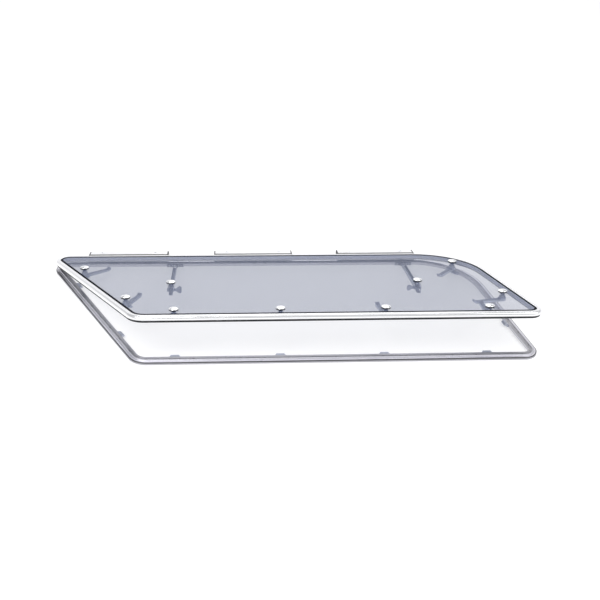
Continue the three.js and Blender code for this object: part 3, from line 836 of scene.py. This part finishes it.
def build_latches():
    cap = finish_mesh("domed_cap", domed_cap(-8.0))
    bush = finish_mesh("spindle_bush", spindle_bush())
    handle = finish_mesh("turning_handle", turning_handle())
    for where, (x, y, lever) in LATCHES.items():
        place, body = LID @ at(x, y), f"handle_{where}"
        piece(f"dome_{where}", cap, CAP_METAL, body, place, "trim_alloy", f"cap_{where}")
        piece(f"flange_{where}", bush, BUSH, "lid", place, "bush_nylon", f"bush_{where}")
        turned = LID @ at(x, y, 0, math.radians(lever))
        piece(f"lever_{where}", handle, CAST, body, turned, "fittings_alloy", f"handle_{where}")
        dress(f"keeper_{where}", CAST, 0.6)


def build_stays():
    cap = finish_mesh("stay_dome", domed_cap(6.4))
    washer = finish_mesh("stay_washer", stay_washer())
    knob = finish_mesh("clamp_knob", clamp_knob())
    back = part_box("stay_left_bracket")[1][1] / MM
    seats = [
        Matrix.Translation((x, 0, 0)) @ Matrix.Rotation(math.pi / 2, 4, "X") for x in (-19, 19)
    ]
    screws = finish_mesh("bracket_screws", copies(cross_screw(2.6, 1.6), seats))
    plate_y, plate_z = back - 2.5, (1 + FRAME_HEIGHT) / 2
    for side, x in STAY_CENTRES.items():
        name, turn = f"stay_{side}", 0 if side == "left" else math.pi
        piece(f"{name}_dome", cap, CAP_METAL, "lid", LID @ at(x, STAY_CAP_Y), "trim_alloy", f"{name}_cap")
        piece(f"{name}_washer", washer, NYLON, "lid", LID @ at(x, STAY_CAP_Y), "bush_nylon")
        place = LID @ at(x, STAY_CAP_Y, STUD_Z, turn)
        piece(f"{name}_clamp", knob, CAST, f"{name}_knob", place, "fittings_alloy", f"{name}_knob")
        piece(f"{name}_screws", screws, STAINLESS, "base", at(x, plate_y, plate_z), "stainless")
        dress(f"{name}_bracket", BRACKET_PAINTED_SHADE, 0.5)
        dress(f"{name}_arm", CAST, 0.4)
        dress(f"{name}_yoke", CAST, 0.5)
        dress(f"{name}_pivot_pin", STAINLESS, 0.3)


build_frame()
build_lid()
build_hinges()
build_latches()
build_stays()


# ------------------------------------------------------------------ studio
def area_light(name, place, target, size, power, colour=(1, 1, 1)):
    light = bpy.data.lights.new(name, "AREA")
    light.shape, light.size, light.energy, light.color = "DISK", size, power, colour
    made = bpy.data.objects.new(name, light)
    bpy.context.scene.collection.objects.link(made)
    made.location = place
    made.rotation_euler = (Vector(target) - Vector(place)).to_track_quat("-Z", "Y").to_euler()


def build_studio():
    bm = bmesh.new()
    bmesh.ops.create_grid(bm, x_segments=2, y_segments=2, size=12000)
    mesh = finish_mesh("floor", bm)
    mesh.materials.append(floor_paper("floor_paper", (0.52, 0.52, 0.525)))
    floor = bpy.data.objects.new("floor", mesh)
    bpy.context.scene.collection.objects.link(floor)
    floor.location.z = -FLOOR_DROP * MM

    area_light("key", (-1.6, -1.4, 2.8), (0, 0, 0), 2.4, 55)
    area_light("fill", (2.2, -0.8, 2.2), (0, 0, 0), 2.2, 25)
    area_light("back", (0.2, 2.6, 2.0), (0, 0, 0), 2.4, 30)

    world = bpy.data.worlds.new("studio")
    bpy.context.scene.world = world
    world.use_nodes = True
    nodes, links = world.node_tree.nodes, world.node_tree.links
    coords = nodes.new("ShaderNodeTexCoord")
    split = nodes.new("ShaderNodeSeparateXYZ")
    ramp = nodes.new("ShaderNodeValToRGB")
    stops = [(0.0, 0.95), (0.16, 1.0), (0.4, 0.55), (0.75, 0.6), (1.0, 0.8)]
    while len(ramp.color_ramp.elements) < len(stops):
        ramp.color_ramp.elements.new(0.5)
    for element, (place, level) in zip(ramp.color_ramp.elements, stops):
        element.position, element.color = place, (level, level, level * 1.02, 1)
    links.new(coords.outputs["Generated"], split.inputs["Vector"])
    links.new(split.outputs["Z"], ramp.inputs["Fac"])
    links.new(ramp.outputs["Color"], nodes["Background"].inputs["Color"])
    nodes["Background"].inputs["Strength"].default_value = 1.05
    bpy.context.scene.view_settings.view_transform = "Standard"


def build_camera():
    """Looks down at the hatch from the front, slightly left of its middle."""
    yaw, pitch, roll = 0.08376, 0.56959, 0.03494
    ahead = Vector((
        math.sin(yaw) * math.cos(pitch), math.cos(yaw) * math.cos(pitch), -math.sin(pitch)
    ))
    level = Vector((math.cos(yaw), -math.sin(yaw), 0))
    up = level.cross(ahead)
    right = level * math.cos(roll) + up * math.sin(roll)
    top = up * math.cos(roll) - level * math.sin(roll)
    camera = bpy.data.objects.new("camera", bpy.data.cameras.new("camera"))
    bpy.context.scene.collection.objects.link(camera)
    camera.data.sensor_width, camera.data.lens = 36, 60
    camera.data.clip_end = 60
    turn = Matrix((right, top, -ahead)).transposed().to_4x4()
    camera.matrix_world = Matrix.Translation((-0.16756, -2.58002, 1.66922)) @ turn
    bpy.context.scene.camera = camera


build_studio()
build_camera()

bpy.context.view_layer.update()
